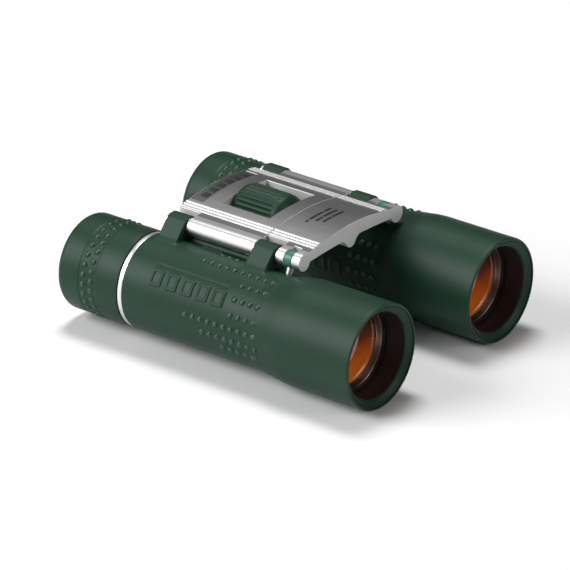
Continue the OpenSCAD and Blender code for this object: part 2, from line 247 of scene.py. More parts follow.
def bump(tree, shader, source, depth):
    """Bumps a shader's normal by a texture's factor; the depth is in metres."""
    node = tree.nodes.new("ShaderNodeBump")
    node.inputs["Distance"].default_value = depth
    node.inputs["Strength"].default_value = 1.0
    tree.links.new(source, node.inputs["Height"])
    tree.links.new(node.outputs["Normal"], shader.inputs["Normal"])


def surface_material(name, dark, light, rough, grain, grain_depth, stretch=(1, 1, 1), patch=60.0, **inputs):
    """Colour that drifts between two tones in broad patches, with a fine grain in roughness and bump.

    The patches and the grain are in cycles per metre, and the grain's depth in metres.
    """
    material, tree, shader = material_with(name, **inputs)
    broad = noise(tree, patch, detail=3.0)
    fine = noise(tree, grain, stretch, detail=5.0)
    colour = ramp(tree, broad.outputs["Fac"], [(0.3, dark), (0.7, light)])
    tree.links.new(colour, shader.inputs["Base Color"])
    tree.links.new(spread(tree, fine.outputs["Fac"], *rough), shader.inputs["Roughness"])
    bump(tree, shader, fine.outputs["Fac"], grain_depth)
    return material


def brushed_metal(name, dark, light, rough, lines=2600.0, depth=0.000003):
    """Metal brushed along Y: fine lines that vary across the brushing and hardly along it."""
    return surface_material(name, dark, light, rough, lines, depth, stretch=(1, 0.012, 1), patch=35.0,
                            Metallic=1.0)


# Colours of the lens coating from the bottom of the lens to its top, darkening upwards as painted shade
LENS_COATING_AND_SHADE_TONES = [(0.10, (0.85, 0.21, 0.020)), (0.42, (0.52, 0.095, 0.010)),
              (0.64, (0.13, 0.022, 0.008)), (0.86, (0.030, 0.009, 0.006))]
LENS_SHADE_HALF = 12.0
LENS_DRIFT = 0.12


def lens_material():
    """Orange anti-reflection coating: amber below, darkening to dark red towards the top as painted shade,
    and a hard gloss.
    """
    material, tree, shader = material_with("coated_glass", Roughness=0.06, Coat_Weight=1.0,
                                           Coat_Roughness=0.02, Specular_IOR_Level=0.8)
    coords = tree.nodes.new("ShaderNodeTexCoord")
    split = tree.nodes.new("ShaderNodeSeparateXYZ")
    tree.links.new(coords.outputs["Object"], split.inputs["Vector"])
    # Painted shade: the coating's colour darkens with height over the lens, in the lens's own coordinates
    height = tree.nodes.new("ShaderNodeMapRange")
    height.inputs["From Min"].default_value = (AXIS_Z - LENS_SHADE_HALF) * MM
    height.inputs["From Max"].default_value = (AXIS_Z + LENS_SHADE_HALF) * MM
    tree.links.new(split.outputs["Z"], height.inputs["Value"])
    drift = noise(tree, 90.0, detail=2.0)
    mixed = tree.nodes.new("ShaderNodeMath")
    mixed.operation = "MULTIPLY_ADD"
    mixed.inputs[1].default_value = LENS_DRIFT
    tree.links.new(drift.outputs["Fac"], mixed.inputs[0])
    tree.links.new(height.outputs["Result"], mixed.inputs[2])
    colour = ramp(tree, mixed.outputs["Value"], LENS_COATING_AND_SHADE_TONES)
    tree.links.new(colour, shader.inputs["Base Color"])
    return material


def clear_glass(name, tint):
    material, tree, shader = material_with(name, Transmission_Weight=1.0, IOR=1.52, Coat_Weight=0.3)
    haze = noise(tree, 120.0, detail=2.0)
    tree.links.new(ramp(tree, haze.outputs["Fac"], [(0.0, tint), (1.0, (0.97, 0.98, 0.98))]),
                   shader.inputs["Base Color"])
    tree.links.new(spread(tree, haze.outputs["Fac"], 0.01, 0.04), shader.inputs["Roughness"])
    return material


MATERIALS = {
    "green_rubber": surface_material("green_rubber", (0.0060, 0.033, 0.0155), (0.0080, 0.040, 0.0205),
                                     (0.42, 0.54), 3200.0, 0.000012, Specular_IOR_Level=0.26),
    # Nub tops: a lighter, glossier green than the skin, a painted highlight so they look lit even in shade
    "nub_highlight_rubber": surface_material("nub_highlight_rubber", (0.020, 0.062, 0.038), (0.026, 0.074, 0.046),
                                   (0.34, 0.44), 3200.0, 0.000006, Specular_IOR_Level=0.45),
    # Plate top: the plate's metal in a darker tone than its tube, ridges and cut faces, painted shade
    "bridge_metal": brushed_metal("bridge_metal", (0.27, 0.265, 0.268), (0.33, 0.32, 0.325), (0.34, 0.52)),
    "band_metal": brushed_metal("band_metal", (0.12, 0.118, 0.121), (0.16, 0.157, 0.161), (0.40, 0.55)),
    # Plate cut faces and underside: the same metal nearly white and mostly diffuse, painted light
    "cut_face_metal_painted_light": surface_material("cut_face_metal_painted_light", (0.74, 0.74, 0.73), (0.82, 0.82, 0.81),
                                  (0.36, 0.46), 1500.0, 0.000001, Metallic=0.30),
    # Plate ridges: lighter than the top, painted highlight
    "ridge_metal_painted_highlight": surface_material("ridge_metal_painted_highlight", (0.58, 0.58, 0.57), (0.66, 0.66, 0.65),
                                    (0.34, 0.44), 1500.0, 0.000001, Metallic=0.55),
    "bright_metal": brushed_metal("bright_metal", (0.72, 0.71, 0.70), (0.82, 0.81, 0.80), (0.34, 0.42),
                                  depth=0.000001),
    "hinge_steel": brushed_metal("hinge_steel", (0.50, 0.50, 0.51), (0.62, 0.62, 0.63), (0.22, 0.36)),
    "ring_metal": brushed_metal("ring_metal", (0.22, 0.15, 0.125), (0.32, 0.22, 0.18), (0.24, 0.36)),
    "brass": brushed_metal("brass", (0.62, 0.44, 0.16), (0.74, 0.55, 0.24), (0.22, 0.36)),
    "black_plastic": surface_material("black_plastic", (0.010, 0.010, 0.011), (0.016, 0.016, 0.017),
                                      (0.42, 0.55), 4200.0, 0.000008),
    "black_metal": surface_material("black_metal", (0.0060, 0.0055, 0.0065), (0.0100, 0.0092, 0.0105),
                                    (0.26, 0.40), 5200.0, 0.000004, Specular_IOR_Level=0.4),
    "green_ring": surface_material("green_ring", (0.030, 0.145, 0.110), (0.040, 0.175, 0.135),
                                   (0.30, 0.42), 4200.0, 0.000006),
    "print": surface_material("print", (0.008, 0.008, 0.009), (0.013, 0.013, 0.014),
                              (0.45, 0.6), 5200.0, 0.000002),
    "coated_glass": lens_material(),
    "glass": clear_glass("glass", (0.86, 0.93, 0.92)),
}


# ---- Barrels ----
# Rows of grip nubs on one half of a barrel: angle, first nub's y, number of nubs
NUB_ROWS = ((95.8, -5.2, 3), (75.0, -7.8, 10), (57.6, 10.8, 4), (39.7, 10.8, 4), (21.4, 11.0, 4),
            (5.4, -6.5, 10), (-9.7, 0.2, 8), (-22.0, 8.0, 5))
NUB_PITCH = 3.06
NUB_R = 1.0
NUB_RISE = 0.60
# Nubs higher than this take the lighter rubber on their tops, a painted highlight
NUB_HIGHLIGHT_FROM = 0.34
# Plain tiles: a raised frame round a lower field
TILE_ANGLE = 36.0
TILE_HALF = (2.4, 2.9)
TILE_CORNER = 0.9
TILE_FRAME = 0.85
TILE_RISE = 0.34
TILE_SUNK = 0.24
TILE_PITCH = 6.2
TILE_COUNT = 5
TILE_FIRST_Y = -20.0
# Two fine grooves beside the tiles
GROOVE_ANGLES = (51.7, 49.3)
GROOVE_Y = (-22.7, 6.9)
GROOVE_HALF = 0.2
GROOVE_DEPTH = 0.24
# A raised bar, and a pad that closes the gap under the hinge tube
BAR_ANGLE = 116.0
BAR_Y = (-15.4, -6.9)
BAR_HALF = 0.55
BAR_RISE = 0.32
PAD_ACROSS = (0.0, 3.6)
PAD_RISE = 1.45
PAD_UNDER_LUG = 0.5
STEP_WIDTH = 0.3


def mirrored_angle(angle):
    """The same place on the other side of the plane through the optical and hinge axes."""
    return 2 * HINGE_ANGLE - angle


def add_dome(radius, theta, rows, angle, y, size, rise, base):
    """Raises one round nub on a grid of radii."""
    across = np.radians(angle_between(theta, angle)) * base
    along = rows - y
    cols = np.nonzero(np.abs(across) < size)[0]
    lines = np.nonzero(np.abs(along) < size)[0]
    if len(cols) and len(lines):
        block = np.ix_(lines, cols)
        near = 1 - (across[None, cols] ** 2 + along[lines, None] ** 2) / size ** 2
        radius[block] += rise * np.clip(near, 0, 1) ** 0.75


def rounded_box(across, along, half_across, half_along, corner):
    """Signed distance to a rounded rectangle on the developed surface."""
    dx = np.abs(across)[None, :] - half_across + corner
    dy = np.abs(along)[:, None] - half_along + corner
    return np.hypot(np.maximum(dx, 0), np.maximum(dy, 0)) + np.minimum(np.maximum(dx, dy), 0) - corner


def grip_radius(theta, rows):
    """Radius of the rubber skin without its lugs, and the height of its nubs alone."""
    bend = 1.5
    profile_y = [REAR_Y, FLARE_Y - 0.5, FLARE_Y + bend, FLARE_END_Y - bend, FLARE_END_Y + bend, FRONT_Y]
    profile_r = [GRIP_R, GRIP_R, GRIP_R + 0.14, RIM_R - 0.16, RIM_R, RIM_R]
    profile = np.interp(rows, profile_y, profile_r)
    crease_drop, crease_lift, lift_length = 0.16, 0.07, 3.0
    profile -= crease_drop * smooth((rows - CREASE_Y + 2.4) / 2.2) * (rows < CREASE_Y)
    profile += crease_lift * (rows >= CREASE_Y) * smooth((CREASE_Y + lift_length - rows) / lift_length)
    radius = np.repeat(profile[:, None], len(theta), axis=1)
    nubs = np.zeros(radius.shape)
    for half in (lambda a: a, mirrored_angle):
        for angle, first, count in NUB_ROWS:
            for k in range(count):
                add_dome(nubs, theta, rows, half(angle), first + k * NUB_PITCH, NUB_R, NUB_RISE, GRIP_R)
        across = np.radians(angle_between(theta, half(TILE_ANGLE))) * GRIP_R
        for k in range(TILE_COUNT):
            along = rows - TILE_FIRST_Y - k * TILE_PITCH
            depth = -rounded_box(across, along, TILE_HALF[1], TILE_HALF[0], TILE_CORNER)
            radius += TILE_RISE * smooth(depth / STEP_WIDTH)
            radius -= TILE_SUNK * smooth((depth - TILE_FRAME) / STEP_WIDTH)
        run = smooth((rows - GROOVE_Y[0]) / 0.6) * smooth((GROOVE_Y[1] - rows) / 0.6)
        for angle in GROOVE_ANGLES:
            across = np.radians(angle_between(theta, half(angle))) * GRIP_R
            radius -= GROOVE_DEPTH * run[:, None] * np.exp(-(across / GROOVE_HALF) ** 2)[None, :]
        across = np.radians(angle_between(theta, half(BAR_ANGLE))) * GRIP_R
        middle, half_length = sum(BAR_Y) / 2, (BAR_Y[1] - BAR_Y[0]) / 2
        depth = -rounded_box(across, rows - middle, BAR_HALF, half_length, BAR_HALF - 0.05)
        radius += BAR_RISE * smooth(depth / STEP_WIDTH)
    across = np.radians(angle_between(theta, HINGE_ANGLE)) * GRIP_R
    width = smooth((across - PAD_ACROSS[0]) / 0.7) * smooth((PAD_ACROSS[1] - across) / 0.7)
    from_rear = smooth((rows - REAR_LUG[1] + PAD_UNDER_LUG) / PAD_UNDER_LUG)
    length = from_rear * smooth((FRONT_LUG[0] + PAD_UNDER_LUG - rows) / PAD_UNDER_LUG)
    radius += PAD_RISE * length[:, None] * width[None, :]
    return radius + nubs, nubs


# Radius of a hinge lug's round top, and its outline below, both from the hinge axis
LUG_R = 3.2
LUG_OUTLINE = ((-0.4, 1.6), (1.6, 1.4), (7.4, -5.0), (5.0, -8.0), (-1.7, -9.0), (-1.7, -1.0))
LUG_ROUND = 1.5
LUG_EDGE = 0.35
LUG_BLEND = 1.3


def polygon_distance(x, z, points):
    """Signed distance to a polygon, negative inside."""
    best = np.full(x.shape, np.inf)
    inside = np.zeros(x.shape, dtype=bool)
    for (ax, az), (bx, bz) in zip(points, points[1:] + points[:1]):
        ex, ez = bx - ax, bz - az
        wx, wz = x - ax, z - az
        t = np.clip((wx * ex + wz * ez) / (ex * ex + ez * ez), 0, 1)
        best = np.minimum(best, np.hypot(wx - ex * t, wz - ez * t))
        crosses = (az > z) != (bz > z)
        if ez != 0:
            inside ^= crosses & (x < ax + (z - az) * ex / ez)
    return np.where(inside, -best, best)


def lug_distance(x, y, z):
    """Signed distance to the two rounded hinge lugs."""
    hx, hz = x + HINGE_IN, z - HINGE_RISE
    outline = np.minimum(np.hypot(hx, hz) - LUG_R, polygon_distance(hx, hz, list(LUG_OUTLINE)) - LUG_ROUND)
    best = np.full(x.shape, np.inf)
    for low, high in (REAR_LUG, FRONT_LUG):
        a = outline + LUG_EDGE
        b = np.maximum(low - y, y - high) + LUG_EDGE
        solid = np.hypot(np.maximum(a, 0), np.maximum(b, 0)) + np.minimum(np.maximum(a, b), 0) - LUG_EDGE
        best = np.minimum(best, solid)
    return best


def raise_lugs(radius, theta, rows):
    """Lifts a grid of radii to the hinge lugs, which blend into the barrel."""
    cols = np.nonzero(np.abs(angle_between(theta, HINGE_ANGLE)) < 40)[0]
    near = [(rows > low - 2) & (rows < high + 2) for low, high in (REAR_LUG, FRONT_LUG)]
    lines = np.nonzero(near[0] | near[1])[0]
    base = radius[np.ix_(lines, cols)]
    turn = np.radians(theta[cols])[None, :]
    y = np.broadcast_to(rows[lines][:, None], base.shape)

    def outside(r):
        body = r - base
        lug = lug_distance(r * np.cos(turn), y, r * np.sin(turn))
        h = np.clip(0.5 + 0.5 * (lug - body) / LUG_BLEND, 0, 1)
        return lug * (1 - h) + body * h - LUG_BLEND * h * (1 - h) > 0

    far = HINGE_RISE + HINGE_IN + LUG_R
    high, found = np.full(base.shape, far), np.zeros(base.shape, dtype=bool)
    low = base.copy()
    for r in np.linspace(far, GRIP_R - 0.5, 90):
        reached = ~outside(np.full(base.shape, r)) & ~found
        low[reached] = r
        found |= reached
        high[~found] = r
    for _ in range(14):
        middle = (low + high) / 2
        out = outside(middle)
        high, low = np.where(out, middle, high), np.where(out, low, middle)
    radius[np.ix_(lines, cols)] = np.where(found, np.maximum(low, base), base)


def armour(side):
    """Moulded rubber skin with nubs, tiles, flare, hinge lugs and rolled rim."""
    fine, coarse = 0.6, 3.0
    pattern = np.arange(-30.0, 2 * HINGE_ANGLE + 30.0, fine)
    plain = np.arange(pattern[-1] + coarse, 328.0, coarse)
    theta = np.concatenate([pattern, plain])
    near_crease, skin_end = 1.2, FRONT_Y - 1.0
    rows = [np.arange(TRIM_HIGH.y, CREASE_Y - 0.5, 1.5), np.arange(-24.0, 21.0, 0.28),
            np.arange(CREASE_Y - near_crease, CREASE_Y + near_crease, 0.15),
            np.arange(CREASE_Y + near_crease, skin_end, 1.0)]
    steps = np.array([0.02, 0.1, 0.2, 0.32, 0.45, 0.7, 1.0, 1.4])
    for end in (*REAR_LUG, *FRONT_LUG):
        rows += [end - steps, end + steps]
    rows = merged_rows(*rows)
    rows = rows[(rows >= TRIM_HIGH.y) & (rows <= skin_end)]
    radius, nubs = grip_radius(theta, rows)
    raise_lugs(radius, theta, rows)
    inner, inner_rim = GRIP_R - 0.85, RIM_R - 1.2
    mouth = CELL_HIGH.x - AXIS_X + 0.25
    lip_round = 0.45
    lip = arc(RIM_R - lip_round, FRONT_Y - lip_round, lip_round, 0, 90, 6)
    groove = [(RIM_R - 0.75, FRONT_Y - 0.02), (RIM_R - 0.85, FRONT_Y - 0.5), (RIM_R - 1.1, FRONT_Y - 0.55),
              (RIM_R - 1.25, FRONT_Y - 0.35)]
    slope = [(mouth + 0.35, FRONT_Y - 1.65), (mouth + 0.08, FRONT_Y - 1.8), (mouth, FRONT_Y - 2.0)]
    inside = [(inner_rim, FRONT_Y - 2.05), (inner_rim, FLARE_END_Y), (inner, FLARE_Y), (inner, TRIM_HIGH.y)]
    lip_r, lip_y = turned_loop(lip + groove + slope + inside, theta)
    radius = np.concatenate([radius, lip_r])
    y = np.concatenate([np.broadcast_to(rows[:, None], (len(rows), len(theta))), lip_y])
    name = SIDE_NAMES[side]
    faces = oriented(ring_faces(len(y), len(theta), True), side)
    # Nub tops take the second, lighter rubber: painted highlight
    highlight_tips = np.zeros(y.shape, dtype=int)
    highlight_tips[:len(rows)] = nubs > NUB_HIGHLIGHT_FROM
    add_piece("rubber_armour_" + name, barrel_points(side, radius, y, theta), faces, name + "_barrel",
              ["armour_" + name], [MATERIALS["green_rubber"], MATERIALS["nub_highlight_rubber"]],
              highlight_tips.ravel(), sharp=50.0)


def eyecup(side):
    """Rubber eyecup with a rounded end and two staggered rows of nubs in a shallow band."""
    theta = np.arange(0.0, 360.0, 0.75)
    band = (REAR_Y + 9.1, REAR_Y + 15.9)
    end_r, mouth_r, sleeve_r = 2.4, 10.6, CUP_R - 1.2
    rows = merged_rows(np.arange(REAR_Y + end_r + 0.3, CUP_HIGH.y - 0.4, 1.5),
                       np.arange(band[0] - 0.6, band[1] + 0.6, 0.28))
    outer = np.repeat(np.full(rows.shape, CUP_R)[:, None], len(theta), axis=1)
    dip = smooth((rows - band[0]) / 0.5 + 0.5) * smooth((band[1] - rows) / 0.5 + 0.5)
    band_depth, nub_count = 0.18, 30
    outer -= band_depth * dip[:, None]
    nubs = np.zeros(outer.shape)
    nub_turn = 360.0 / nub_count
    for line, y in enumerate((band[0] + 1.9, band[0] + 5.0)):
        for k in range(nub_count):
            add_dome(nubs, theta, rows, nub_turn * (k + line / 2), y, NUB_R, NUB_RISE - 0.05, CUP_R)
    outer += nubs
    lip_r = 0.75
    mouth = [(mouth_r, REAR_Y + 0.8)] + arc(mouth_r + lip_r, REAR_Y + lip_r, lip_r, 180, 270, 5)
    start_r, start_y = turned_loop(mouth + arc(CUP_R - end_r, REAR_Y + end_r, end_r, -90, 0, 10), theta)
    front, web = CUP_HIGH.y, REAR_Y + 2.0
    close = [(CUP_R - 0.12, front - 0.12), (CUP_R - 0.4, front), (sleeve_r, front),
             (sleeve_r, web), (mouth_r, web)]
    end_rows = turned_loop(close, theta)
    radius = np.concatenate([start_r, outer, end_rows[0]])
    y = np.concatenate([start_y, np.broadcast_to(rows[:, None], outer.shape), end_rows[1]])
    name = SIDE_NAMES[side]
    body = "left_barrel" if side == LEFT else "diopter_ring"
    faces = oriented(ring_faces(len(y), len(theta), True), side)
    # Nub tops take the second, lighter rubber: painted highlight
    highlight_tips = np.zeros(y.shape, dtype=int)
    highlight_tips[len(start_r):len(start_r) + len(rows)] = nubs > NUB_HIGHLIGHT_FROM
    add_piece("rubber_eyecup_" + name, barrel_points(side, radius, y, theta), faces, body,
              ["eyecup_" + name], [MATERIALS["green_rubber"], MATERIALS["nub_highlight_rubber"]],
              highlight_tips.ravel(), sharp=50.0)


def trim_ring(side):
    """Bright ring between the eyecup and the armour, with rounded edges."""
    name = SIDE_NAMES[side]
    outer, inner = GRIP_R - 0.1, TRIM_HIGH.x - AXIS_X - 2.5
    edge = 0.3
    profile = [(inner, TRIM_LOW.y)] + arc(outer - edge, TRIM_LOW.y + edge, edge, -90, 0, 5)
    profile += arc(outer - edge, TRIM_HIGH.y - edge, edge, 0, 90, 5) + [(inner, TRIM_HIGH.y)]
    barrel_ring("bright_trim_ring_" + name, side, profile, name + "_barrel", ["trim_ring_" + name],
                MATERIALS["bright_metal"])


def objective(side):
    """The coated front lens as a smooth cap, and the turned retainer with its fine rings."""
    name = SIDE_NAMES[side]
    theta = np.arange(144) * 2.5
    lens_r = CROWN_HIGH.x - AXIS_X
    bulge = 1.46
    top = CROWN_HIGH.y
    cap = [(lens_r * t, top - bulge * t * t) for t in np.linspace(0.0005, 1, 24)]
    back = [(lens_r, CROWN_LOW.y + 1.8), (lens_r * 0.5, CROWN_LOW.y + 1.6), (0.006, CROWN_LOW.y + 1.5)]
    profile = list(reversed(cap + back))
    radius, y = turned_loop(profile, theta)
    faces = oriented(ring_faces(len(profile), len(theta), True), side)
    add_piece("front_lens_" + name, barrel_points(side, radius, y, theta), faces, name + "_objective",
              ["crown_lens_" + name], [MATERIALS["coated_glass"]])
    inner, outer = RETAINER_HIGH.x - AXIS_X - 1.25, RETAINER_HIGH.x - AXIS_X
    rear, front = RETAINER_LOW.y + 0.02, RETAINER_HIGH.y
    rings = [(inner, rear), (outer, rear), (outer, front)]
    steps = 5
    for k in range(steps):
        r = outer - 0.12 - k * (outer - inner - 0.2) / steps
        z = front - 0.06 - 0.22 * k
        rings += [(r, z), (r - 0.06, z - 0.14), (r - 0.16, z - 0.14)]
    barrel_ring("lens_retainer_" + name, side, rings + [(inner, front - 1.25)], name + "_objective",
                ["objective_retainer_" + name], MATERIALS["ring_metal"], sharp=25.0)


def link_ring(side):
    """Green ring round the hinge rod, with rounded edges."""
    name = SIDE_NAMES[side]
    steps, edge = 96, 0.3
    inner = TUBE_R - 1.35
    profile = [(inner, RING_LOW.y)] + arc(TUBE_R - edge, RING_LOW.y + edge, edge, -90, 0, 4)
    profile += arc(TUBE_R - edge, RING_HIGH.y - edge, edge, 0, 90, 4) + [(inner, RING_HIGH.y)]
    turn = np.arange(steps) * 2 * math.pi / steps
    verts = [(side * (HINGE_X + r * math.cos(t)), y, HINGE_Z + r * math.sin(t))
             for r, y in profile for t in turn]
    faces = oriented(ring_faces(len(profile), steps, True), side)
    add_piece("green_link_ring_" + name, verts, faces, name + "_objective", ["link_ring_" + name],
              [MATERIALS["green_ring"]])


# ---- Focus wheel ----
WHEEL_RIBS = 30
RIB_STEPS = 14
RIB_DEPTH = 0.5
SHOULDER_R = 2.4


def focus_wheel():
    """Rubber wheel with lengthwise ribs, a smooth rounded front shoulder and flat ends."""
    steps = WHEEL_RIBS * RIB_STEPS
    theta = np.arange(steps) * 360.0 / steps
    rear, front = WHEEL_LOW.y, WHEEL_HIGH.y
    bore = 1.2
    groove = (0.5 + 0.5 * np.cos(np.radians(theta) * WHEEL_RIBS)) ** 2.2
    # Radius, y and share of the rib depth, from the rear to the front
    shape = [(bore, rear, 0), (WHEEL_R - 1.6, rear, 0)]
    shape += [(r, y, 0) for r, y in arc(WHEEL_R - 1.1, rear + 0.5, 0.5, -90, 0, 4)]
    shape += [(WHEEL_R - 0.55, rear + 0.9, 0.1), (WHEEL_R - 0.1, rear + 1.4, 0.8)]
    shape += [(WHEEL_R, rear + 1.9, 1.0)]
    shape += [(WHEEL_R, y, 1.0) for y in np.linspace(rear + 3, front - 4.2, 12)]
    shape += [(WHEEL_R - 0.02, front - 3.5, 0.9), (WHEEL_R - 0.12, front - 3.1, 0.35)]
    shape += [(WHEEL_R - 0.2, front - 2.8, 0)]
    shoulder = arc(WHEEL_R - SHOULDER_R - 0.2, front - SHOULDER_R, SHOULDER_R, 10, 90, 9)
    shape += [(r, y, 0) for r, y in shoulder]
    shape += [(bore, front, 0)]
    shape = np.array(shape)
    radius = shape[:, :1] - RIB_DEPTH * shape[:, 2:] * groove[None, :]
    turn = np.radians(theta)[None, :]
    y = np.broadcast_to(shape[:, 1:2], radius.shape)
    verts = np.stack([radius * np.cos(turn), y, WHEEL_Z + radius * np.sin(turn)], axis=-1).reshape(-1, 3)
    add_piece("ribbed_focus_wheel", verts, ring_faces(len(shape), steps, True), "focus_wheel",
              ["focus_wheel"], [MATERIALS["green_rubber"]], sharp=45.0)


# ---- Bridge and focus plate ----
ARCH_R = 80.0
UNDER_R = 250.0
CROWN_RISE = BRIDGE_HIGH.z - HINGE_Z
WING_X = 19.4
RIDGES = (16.0, 17.3, 18.6)
RIDGE_HALF = 0.46
RIDGE_RISE = 0.42
RECESS_X, RECESS_DEPTH = 14.0, 0.35
BOSS_R = 2.4
RIB_X = 4.6
WINDOW_HALF = 11.5
WING_FLAT_X, WING_FLAT_Z, WING_DROP = 18.0, 3.1, 0.2
TUBE_FROM_X = 21.5
# Places in the list of materials of a plate
TOP, TUBE, CUT, PRINT, BAND, RIDGE = range(6)


def arch_height(x):
    """Height of the plates' crown over the hinge axes, without ridges."""
    return CROWN_RISE - ARCH_R + math.sqrt(ARCH_R ** 2 - x * x)


def top_height(x):
    """Height of a plate's upper side over the hinge axes, with its ridges."""
    x = abs(x)
    height = arch_height(x)
    if x > WING_FLAT_X:
        height = max(height, WING_FLAT_Z - WING_DROP * (x - WING_FLAT_X) / (HINGE_X - WING_FLAT_X))
    for ridge in RIDGES:
        t = (x - ridge) / RIDGE_HALF
        if abs(t) < 1:
            height += RIDGE_RISE * (1 - t * t) ** 0.6
    return height


def under_height(x):
    """Height of a plate's underside over the hinge axes: shallow arch, spindle boss and tubes."""
    x = abs(x)
    if x > HINGE_X - TUBE_R:
        return -max(math.sqrt(max(TUBE_R ** 2 - (x - HINGE_X) ** 2, 0)), 0.62)
    height = 0.3 - UNDER_R + math.sqrt(UNDER_R ** 2 - x * x)
    if x < RIB_X:
        height = min(height, 0.6 - 1.8 * (RIB_X - x) / 2.3)
    if x < BOSS_R:
        height = min(height, WHEEL_Z - HINGE_Z - math.sqrt(BOSS_R ** 2 - x * x))
    return height


def plate_columns():
    """(top x, top z, bottom x, bottom z) of the columns across a plate, from left to right."""
    xs = [0, 0.6, 1.2, 1.7, 2.1, BOSS_R, 3.0, 3.8, RIB_X, 6.0, 7.5, 9.0, 10.4, WINDOW_HALF, 12.4, 13.2,
          RECESS_X - 0.05, RECESS_X + 0.05, 14.6, 15.2]
    for ridge in RIDGES:
        xs += [ridge + RIDGE_HALF * t for t in (-1, -0.9, -0.72, -0.48, -0.2, 0.2, 0.48, 0.72, 0.9, 1)]
    xs += [WING_X - 0.02, WING_X + 0.3, 20.2, 20.7, HINGE_X - TUBE_R + 0.05, 21.3, 21.7, 22.2, 22.8, 23.4]
    xs += [HINGE_X]
    xs = sorted(xs)
    half = [(x, top_height(x), x, under_height(x)) for x in xs]
    for angle in np.radians(np.arange(75, -1, -15)):
        x, z = HINGE_X + TUBE_R * math.cos(angle), TUBE_R * math.sin(angle)
        half.append((x, z, x, -z))
    return [(-a, b, -c, d) for a, b, c, d in reversed(half[1:])] + half


def plate_solid(name, rows, present, sunk, body, node, extra):
    """A solid plate from a grid of columns and rows: only the cells that are present are drawn.

    present and sunk tell, for a place (x, y), if there is metal and how deep its top is sunk.
    """
    columns = plate_columns()
    count, lines = len(columns), len(rows)
    index, verts = {}, []

    def point(level, i, j):
        tx, tz, bx, bz = columns[i]
        if level and abs(tz - bz) < 1e-6:
            level = 0
        key = (level, i, j)
        if key not in index:
            index[key] = len(verts)
            x, z = (bx, bz) if level else (tx, tz - sunk(tx, rows[j]))
            verts.append((x, rows[j], HINGE_Z + z))
        return index[key]

    def here(i, j):
        if not (0 <= i < count - 1 and 0 <= j < lines - 1):
            return False
        x = abs(columns[i][0] + columns[i + 1][0]) / 2
        return present(x, (rows[j] + rows[j + 1]) / 2)

    faces, kinds = [], []

    def put(kind, *corners):
        corners = [c for k, c in enumerate(corners) if c != corners[k - 1]]
        if len(corners) > 2:
            faces.append(corners)
            kinds.append(kind)

    for i in range(count - 1):
        x = abs(columns[i][0] + columns[i + 1][0]) / 2
        on_ridge = any(abs(x - ridge) < RIDGE_HALF * 0.8 for ridge in RIDGES)
        on_tube = x > TUBE_FROM_X
        # The top and ridges take darker and lighter tones of one plate metal: painted shade on the top,
        # painted highlight on the ridges
        top_kind = RIDGE if on_ridge else (TUBE if on_tube else TOP)
        for j in range(lines - 1):
            if not here(i, j):
                continue
            kind = BAND if sunk(x, (rows[j] + rows[j + 1]) / 2) else top_kind
            top = [point(0, i, j), point(0, i + 1, j), point(0, i + 1, j + 1), point(0, i, j + 1)]
            low = [point(1, i, j), point(1, i + 1, j), point(1, i + 1, j + 1), point(1, i, j + 1)]
            put(kind, *top)
            put(TUBE if on_tube else CUT, *reversed(low))
            if not here(i - 1, j):
                put(CUT, low[0], top[0], top[3], low[3])
            if not here(i + 1, j):
                put(CUT, top[1], low[1], low[2], top[2])
            if not here(i, j - 1):
                put(CUT, top[0], low[0], low[1], top[1])
            if not here(i, j + 1):
                put(CUT, top[2], low[2], low[3], top[3])
    extra(verts, faces, kinds)
    # Slots: the plate's top in a darker tone as painted shade; cut faces, underside and ridges in lighter
    # tones as painted light and painted highlight
    slots = ("bridge_metal", "bright_metal", "cut_face_metal_painted_light", "print", "band_metal", "ridge_metal_painted_highlight")
    materials = [MATERIALS[slot] for slot in slots]
    piece = add_piece(name, verts, faces, body, [node], materials, kinds)
    return bevel(piece, 0.16, 2, 50.0)


def raised_bar(verts, faces, kinds, x0, x1, y0, y1, base, rise, kind):
    """A plain bar that follows the crown of a plate, from its surface up by a small rise."""
    steps = max(2, int(abs(x1 - x0) / 1.2))
    start = len(verts)
    for k in range(steps + 1):
        x = x0 + (x1 - x0) * k / steps
        low = HINGE_Z + arch_height(x) + base
        verts += [(x, y0, low), (x, y1, low), (x, y1, low + rise), (x, y0, low + rise)]
    for k in range(steps):
        a, b = start + 4 * k, start + 4 * (k + 1)
        faces += [[a + 3, b + 3, b + 2, a + 2], [a, a + 1, b + 1, b]]
        faces += [[a, b, b + 3, a + 3], [a + 1, a + 2, b + 2, b + 1]]
        kinds += [kind] * 4
    a, b = start, start + 4 * steps
    faces += [[a, a + 3, a + 2, a + 1], [b, b + 1, b + 2, b + 3]]
    kinds += [kind] * 2


def bridge_plate():
    """Arched bridge with the wheel's window, ridges, hinge tubes and a sunk band of plain bars."""
    window = (WHEEL_LOW.y - 0.5, WHEEL_HIGH.y + 0.4)
    rear, front, tube_rear = BRIDGE_LOW.y, BRIDGE_HIGH.y, WASHER_LOW.y + 0.25
    band, wall = (rear + 0.5, -25.5), 0.06
    keep = [rear, *band, tube_rear, *window, front, band[0] + wall, band[1] - wall]
    between = [y for y in np.arange(rear + 1.5, front - 0.6, 1.9) if min(abs(y - k) for k in keep) > 0.4]
    rows = merged_rows(keep, between, gap=0.05)

    def present(x, y):
        if x < WINDOW_HALF and window[0] < y < window[1]:
            return False
        return x < WING_X or y > tube_rear

    def sunk(x, y):
        inside = abs(x) < RECESS_X and band[0] + wall / 2 < y < band[1] - wall / 2
        return RECESS_DEPTH if inside else 0.0

    def bars(verts, faces, kinds):
        count, width, gap = 6, 2.7, 1.2
        for k in range(count):
            x = (k - (count - 1) / 2) * (width + gap)
            raised_bar(verts, faces, kinds, x - width / 2, x + width / 2, band[0] + 1.1, band[1] - 1.1,
                       -RECESS_DEPTH - 0.05, 0.3, PRINT)

    plate_solid("arched_bridge", rows, present, sunk, "bridge", "bridge_plate", bars)


